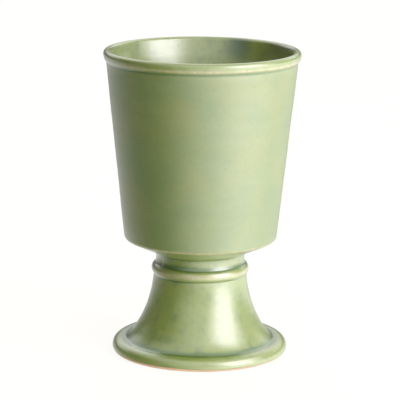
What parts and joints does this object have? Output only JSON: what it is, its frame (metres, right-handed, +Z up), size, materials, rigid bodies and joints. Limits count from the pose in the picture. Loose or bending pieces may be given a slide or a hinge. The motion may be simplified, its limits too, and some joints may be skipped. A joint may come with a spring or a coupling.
{
  "type": "brush pot",
  "caption": "Footed stoneware brush pot: a tapered round cup with a beaded lip on a hollow waisted pedestal with a collar bead and a broad base flange, green glazed all over but for the foot ring.",
  "frame": {"origin": "middle of the foot ring's resting face", "axes": "+Z up along the pot's turning axis, from the foot to the lip. The pot is round, so +X and +Y are any two directions across it at a right angle."},
  "size_m": [0.11, 0.11, 0.1717],
  "materials": {
    "stoneware": "bare fired buff stoneware",
    "slip": "fired luting slip",
    "outside_glaze": "satin sage green glaze",
    "inside_glaze": "glossy sage green glaze"
  },
  "bodies": {
    "root": {"cup": "stoneware", "luting_slip": "slip", "pedestal": "stoneware", "outside_glaze": "outside_glaze", "inside_glaze": "inside_glaze", "foot_well_glaze": "outside_glaze"}
  },
  "joints": []
}
